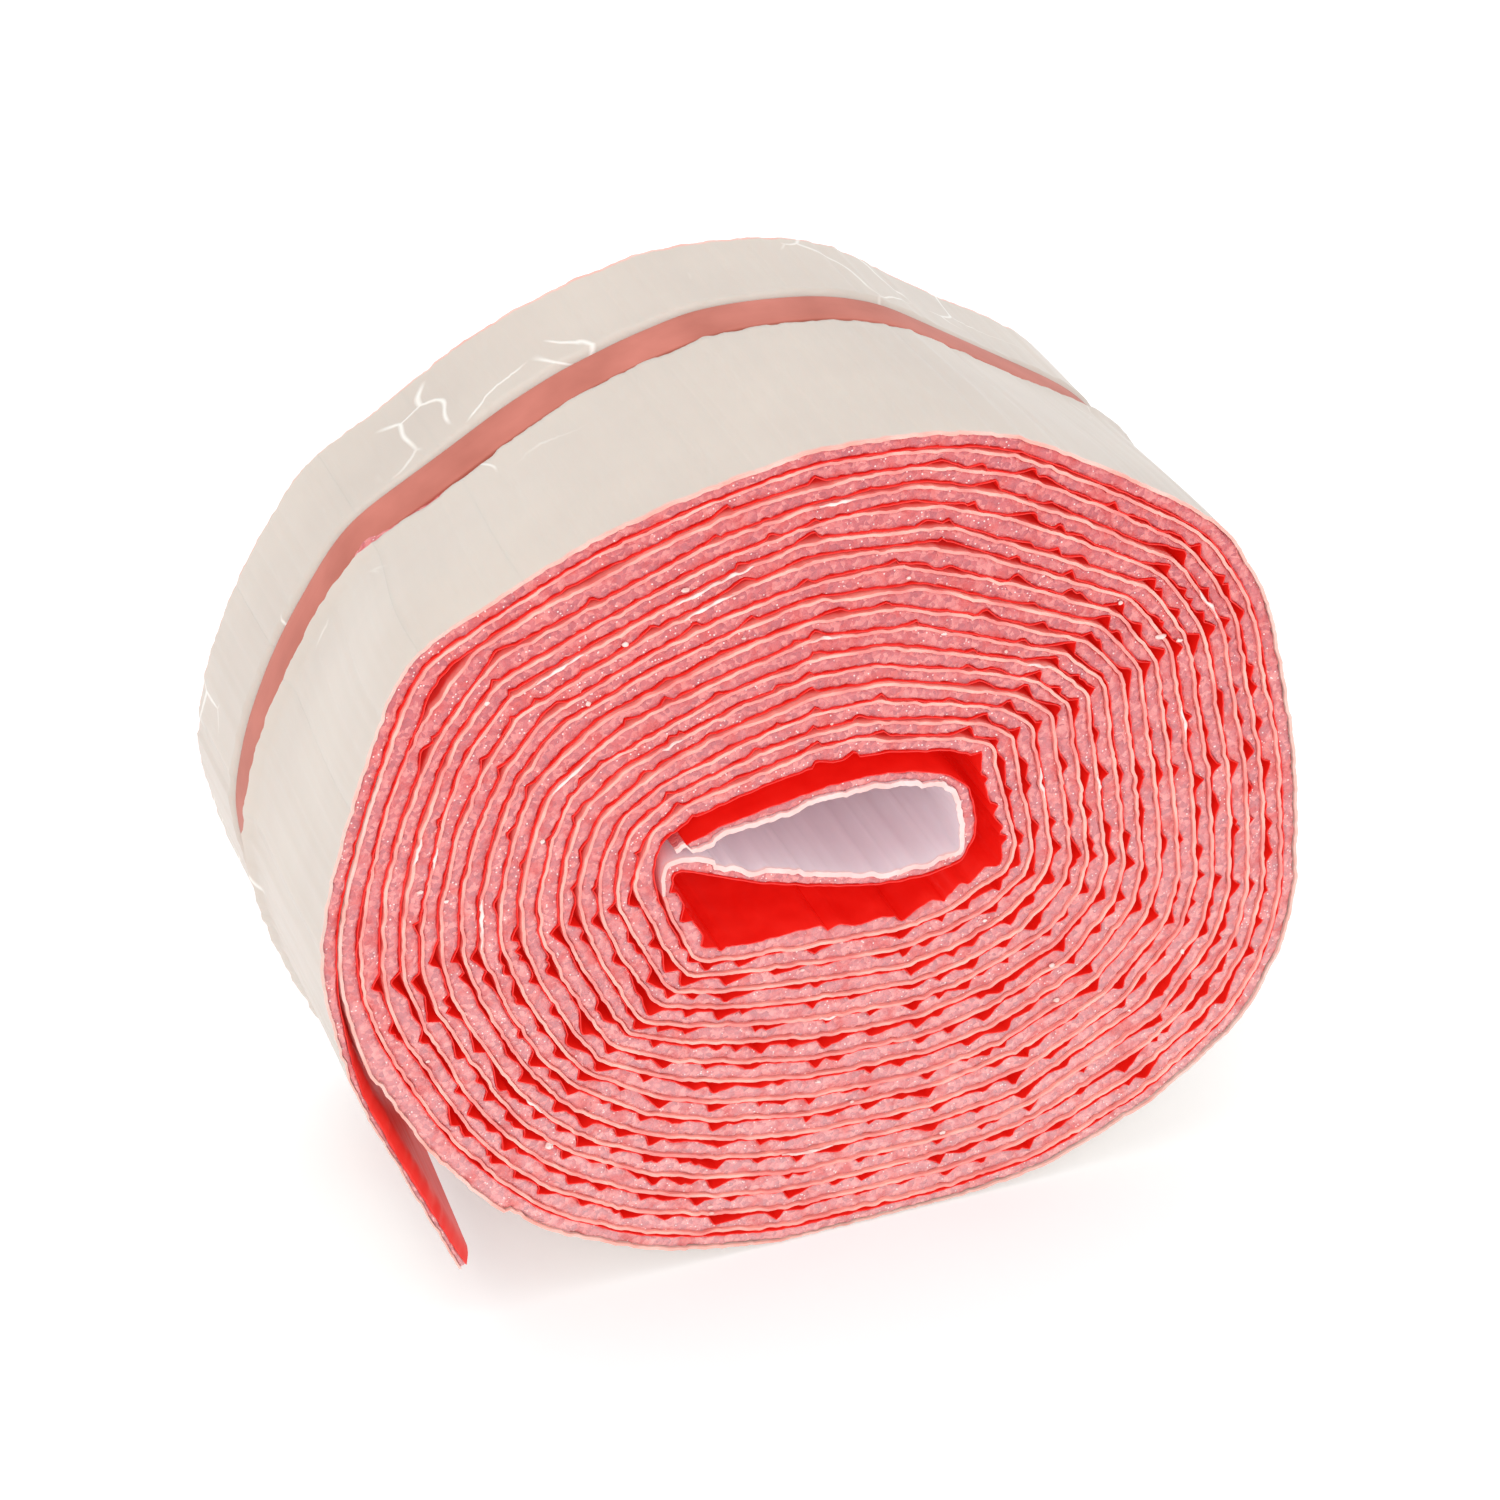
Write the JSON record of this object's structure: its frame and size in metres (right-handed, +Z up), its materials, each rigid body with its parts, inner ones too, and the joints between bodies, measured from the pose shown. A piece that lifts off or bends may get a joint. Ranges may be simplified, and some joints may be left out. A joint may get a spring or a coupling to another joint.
{
  "type": "foam strip roll",
  "caption": "Oval roll of laminated foam strip, red film inside and white film outside, lying on its side and held shut by a rubber band; the outer end opens as a creased tail.",
  "frame": {"origin": "middle of the bounding box's floor rectangle, at floor level", "axes": "+Y is the roll's axis, towards its back face; +X is to the right seen from the front; +Z is up"},
  "size_m": [0.1142, 0.05, 0.1006],
  "materials": {
    "foam": "closed-cell foam",
    "white_film": "satin",
    "red_film": "semi-gloss",
    "natural_rubber": "matt"
  },
  "bodies": {
    "roll": {"roll_backing": "white_film", "roll_foam": "foam", "roll_facing": "red_film"},
    "band": {"rubber_band": "natural_rubber"},
    "tail_1": {"tail_1_backing": "white_film", "tail_1_foam": "foam", "tail_1_facing": "red_film"},
    "tail_2": {"tail_2_backing": "white_film", "tail_2_foam": "foam", "tail_2_facing": "red_film"},
    "tail_3": {"tail_3_backing": "white_film", "tail_3_foam": "foam", "tail_3_facing": "red_film"},
    "tail_4": {"tail_4_backing": "white_film", "tail_4_foam": "foam", "tail_4_facing": "red_film"},
    "tail_5": {"tail_5_backing": "white_film", "tail_5_foam": "foam", "tail_5_facing": "red_film"},
    "tail_6": {"tail_6_backing": "white_film", "tail_6_foam": "foam", "tail_6_facing": "red_film"}
  },
  "joints": [
    {"name": "band_slide", "type": "slide", "parent": "roll", "child": "band", "axis": [0, 1, 0], "range_m": [0, 0.034], "deforming": ["rubber_band"]},
    {"name": "tail_1_crease", "type": "hinge", "parent": "roll", "child": "tail_1", "pos_m": [-0.03746, 0, 0.08956], "axis": [0, 1, 0], "range_deg": [0, 14]},
    {"name": "tail_2_crease", "type": "hinge", "parent": "tail_1", "child": "tail_2", "pos_m": [-0.04925, 0, 0.07814], "axis": [0, 1, 0], "range_deg": [0, 19]},
    {"name": "tail_3_crease", "type": "hinge", "parent": "tail_2", "child": "tail_3", "pos_m": [-0.05589, 0, 0.05894], "axis": [0, 1, 0], "range_deg": [0, 16]},
    {"name": "tail_4_crease", "type": "hinge", "parent": "tail_3", "child": "tail_4", "pos_m": [-0.05698, 0, 0.04601], "axis": [0, 1, 0], "range_deg": [0, 20]},
    {"name": "tail_5_crease", "type": "hinge", "parent": "tail_4", "child": "tail_5", "pos_m": [-0.05406, 0, 0.03352], "axis": [0, 1, 0], "range_deg": [0, 8]},
    {"name": "tail_6_crease", "type": "hinge", "parent": "tail_5", "child": "tail_6", "pos_m": [-0.04822, 0, 0.02062], "axis": [0, 1, 0], "range_deg": [0, 6]}
  ],
  "couplings": [
    {"joint": "tail_1_crease", "follows": "band_slide", "rad_per_m": 7.186},
    {"joint": "tail_2_crease", "follows": "band_slide", "rad_per_m": 9.753},
    {"joint": "tail_3_crease", "follows": "band_slide", "rad_per_m": 8.213},
    {"joint": "tail_4_crease", "follows": "band_slide", "rad_per_m": 10.266},
    {"joint": "tail_5_crease", "follows": "band_slide", "rad_per_m": 4.106},
    {"joint": "tail_6_crease", "follows": "band_slide", "rad_per_m": 3.079}
  ]
}
